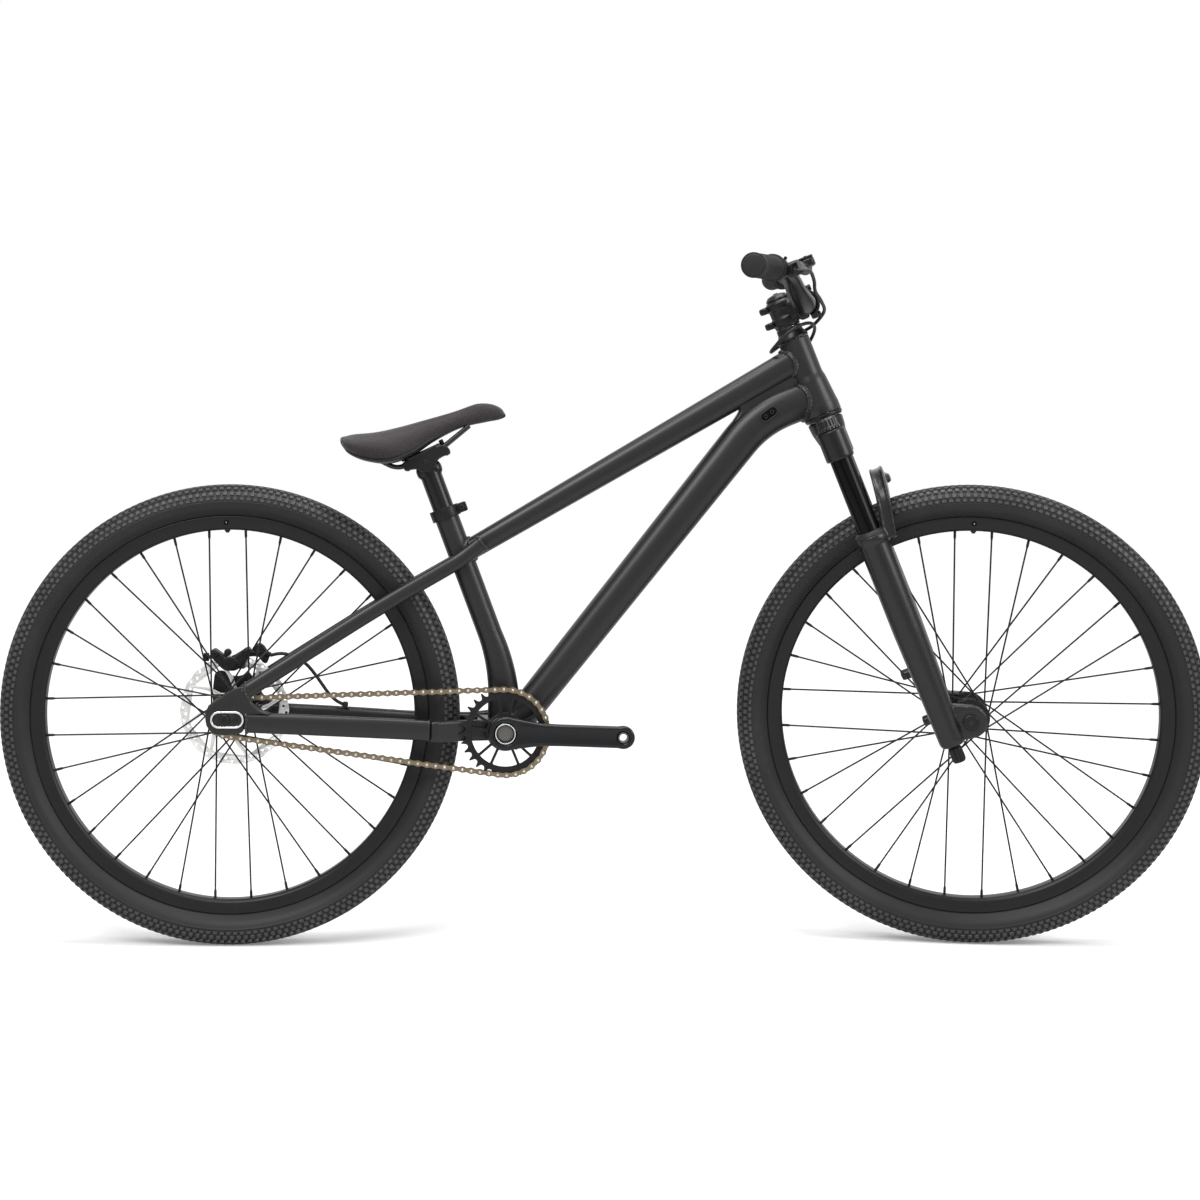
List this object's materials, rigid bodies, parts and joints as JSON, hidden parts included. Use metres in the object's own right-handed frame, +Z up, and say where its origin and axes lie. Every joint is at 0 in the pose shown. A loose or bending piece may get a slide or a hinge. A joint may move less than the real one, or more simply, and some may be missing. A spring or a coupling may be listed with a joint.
{
  "type": "dirt jump bike",
  "caption": "Hardtail dirt jump bicycle: low curved frame, suspension fork, one-speed chain drive, rear disc brake, wide riser bar, low saddle and knobbly tyres, without pedals.",
  "frame": {"origin": "centre of the bounding box on the ground, with both tyres standing on Z = 0", "axes": "+X forward along the bicycle, +Y to its left side, away from the chain, +Z up; the bar and front wheel stand turned 10 degrees to the chain side"},
  "size_m": [1.7182, 0.7604, 1.005],
  "materials": {
    "head_tube": "satin",
    "top_tube": "satin",
    "down_tube": "satin",
    "seat_tube": "satin",
    "head_gusset": "satin",
    "bottom_bracket_shell": "satin",
    "bottom_bracket_cup_right": "satin",
    "bottom_bracket_cup_left": "satin",
    "headset_lower_cup": "satin",
    "seat_clamp": "satin",
    "rear_axle": "brushed",
    "chainstay_right": "satin",
    "chainstay_left": "satin",
    "seatstay_right": "satin",
    "seatstay_left": "satin",
    "dropout_right": "satin",
    "dropout_left": "satin",
    "axle_guide_right": "machined",
    "axle_guide_left": "machined",
    "brake_caliper": "satin",
    "caliper_bracket": "satin",
    "rear_brake_hose": "matt",
    "chain": "bronzed",
    "seatpost": "satin",
    "saddle_cushion": "woven",
    "saddle_base": "matt",
    "saddle_rail_right": "semi-gloss",
    "saddle_rail_left": "semi-gloss",
    "saddle_clamp": "satin",
    "fork_crown": "satin",
    "stanchion_right": "gloss",
    "stanchion_left": "gloss",
    "stem": "satin",
    "stem_faceplate": "satin",
    "stem_top_cap": "satin",
    "headset_cover": "satin",
    "handlebar": "satin",
    "grip_right": "matt",
    "grip_left": "matt",
    "brake_master_cylinder": "satin",
    "front_brake_hose": "matt",
    "fork_lowers": "satin",
    "front_axle": "brushed",
    "compression_dial": "matt",
    "rebound_knob": "matt",
    "front_tyre": "matt",
    "front_rim": "satin",
    "front_hub": "satin",
    "brake_lever": "satin",
    "brake_pad_inner": "matt",
    "brake_pad_outer": "matt",
    "rear_tyre": "matt",
    "rear_rim": "satin",
    "rear_hub": "satin",
    "brake_rotor": "brushed",
    "crank_right": "semi-gloss",
    "crank_left": "semi-gloss",
    "crank_spindle": "brushed",
    "chainring": "semi-gloss",
    "rear_cog": "semi-gloss"
  },
  "bodies": {
    "frame": {"head_tube": "head_tube", "top_tube": "top_tube", "down_tube": "down_tube", "seat_tube": "seat_tube", "head_gusset": "head_gusset", "bottom_bracket_shell": "bottom_bracket_shell", "bottom_bracket_cup_right": "bottom_bracket_cup_right", "bottom_bracket_cup_left": "bottom_bracket_cup_left", "headset_lower_cup": "headset_lower_cup", "seat_clamp": "seat_clamp", "rear_axle": "rear_axle", "chainstay_right": "chainstay_right", "chainstay_left": "chainstay_left", "seatstay_right": "seatstay_right", "seatstay_left": "seatstay_left", "dropout_right": "dropout_right", "dropout_left": "dropout_left", "axle_guide_right": "axle_guide_right", "axle_guide_left": "axle_guide_left", "brake_caliper": "brake_caliper", "caliper_bracket": "caliper_bracket", "rear_brake_hose": "rear_brake_hose", "chain": "chain"},
    "seatpost": {"seatpost": "seatpost"},
    "saddle": {"saddle_cushion": "saddle_cushion", "saddle_base": "saddle_base", "saddle_rail_right": "saddle_rail_right", "saddle_rail_left": "saddle_rail_left", "saddle_clamp": "saddle_clamp"},
    "steering": {"fork_crown": "fork_crown", "stanchion_right": "stanchion_right", "stanchion_left": "stanchion_left", "stem": "stem", "stem_faceplate": "stem_faceplate", "stem_top_cap": "stem_top_cap", "headset_cover": "headset_cover", "handlebar": "handlebar", "grip_right": "grip_right", "grip_left": "grip_left", "brake_master_cylinder": "brake_master_cylinder", "front_brake_hose": "front_brake_hose"},
    "fork_lowers": {"fork_lowers": "fork_lowers", "front_axle": "front_axle"},
    "compression_dial": {"compression_dial": "compression_dial"},
    "rebound_knob": {"rebound_knob": "rebound_knob"},
    "front_wheel": {"front_tyre": "front_tyre", "front_rim": "front_rim", "front_hub": "front_hub"},
    "brake_lever": {"brake_lever": "brake_lever"},
    "brake_pad_inner": {"brake_pad_inner": "brake_pad_inner"},
    "brake_pad_outer": {"brake_pad_outer": "brake_pad_outer"},
    "rear_wheel": {"rear_tyre": "rear_tyre", "rear_rim": "rear_rim", "rear_hub": "rear_hub", "brake_rotor": "brake_rotor"},
    "cranks": {"crank_right": "crank_right", "crank_left": "crank_left", "crank_spindle": "crank_spindle", "chainring": "chainring"},
    "rear_cog": {"rear_cog": "rear_cog"}
  },
  "joints": [
    {"name": "seatpost_slide", "type": "slide", "parent": "frame", "child": "seatpost", "axis": [-0.3486, 0, 0.9373], "range_m": [-0.04, 0.03]},
    {"name": "saddle_tilt", "type": "hinge", "parent": "seatpost", "child": "saddle", "pos_m": [-0.24834, 0, 0.69227], "axis": [0, 1, 0], "range_deg": [-5, 25]},
    {"name": "steering_turn", "type": "hinge", "parent": "frame", "child": "steering", "pos_m": [0.4968, 0, 0.31742], "axis": [-0.3665, 0, 0.9304], "range_deg": [-40, 60], "deforming": ["front_brake_hose"]},
    {"name": "fork_travel", "type": "slide", "parent": "steering", "child": "fork_lowers", "axis": [-0.3665, 0, 0.9304], "range_m": [0, 0.1], "stiffness_N_per_m": 6000, "springref_m": -0.04},
    {"name": "compression_dial_turn", "type": "hinge", "parent": "steering", "child": "compression_dial", "pos_m": [0.32223, -0.06141, 0.73661], "axis": [-0.3665, 0, 0.9304], "range_deg": [0, 270]},
    {"name": "rebound_knob_turn", "type": "hinge", "parent": "fork_lowers", "child": "rebound_knob", "pos_m": [0.50328, -0.06141, 0.27698], "axis": [-0.3665, 0, 0.9304], "range_deg": [-180, 180]},
    {"name": "front_wheel_spin", "type": "hinge", "parent": "fork_lowers", "child": "front_wheel", "pos_m": [0.52979, -0.00625, 0.33041], "axis": [0.1616, 0.9848, 0.0636], "continuous": true},
    {"name": "brake_lever_pull", "type": "hinge", "parent": "steering", "child": "brake_lever", "pos_m": [0.25248, -0.24009, 0.95009], "axis": [0.3665, 0, -0.9304], "range_deg": [0, 13], "stiffness_Nm_per_rad": 1.5, "springref_deg": -17.19},
    {"name": "brake_pad_inner_press", "type": "slide", "parent": "frame", "child": "brake_pad_inner", "axis": [0, 1, 0], "range_m": [0, 0.0006]},
    {"name": "brake_pad_outer_press", "type": "slide", "parent": "frame", "child": "brake_pad_outer", "axis": [0, -1, 0], "range_m": [0, 0.0006]},
    {"name": "rear_wheel_spin", "type": "hinge", "parent": "frame", "child": "rear_wheel", "pos_m": [-0.5303, 0, 0.3305], "axis": [0, 1, 0], "continuous": true},
    {"name": "crank_turn", "type": "hinge", "parent": "frame", "child": "cranks", "pos_m": [-0.13548, 0, 0.3094], "axis": [0, 1, 0], "continuous": true, "deforming": ["chain"]},
    {"name": "rear_cog_turn", "type": "hinge", "parent": "frame", "child": "rear_cog", "pos_m": [-0.5303, 0, 0.3305], "axis": [0, 1, 0], "continuous": true}
  ],
  "couplings": [
    {"joint": "rear_cog_turn", "follows": "crank_turn", "ratio": 2.3077},
    {"joint": "brake_pad_inner_press", "follows": "brake_lever_pull", "m_per_rad": 0.0022},
    {"joint": "brake_pad_outer_press", "follows": "brake_lever_pull", "m_per_rad": 0.0022}
  ]
}
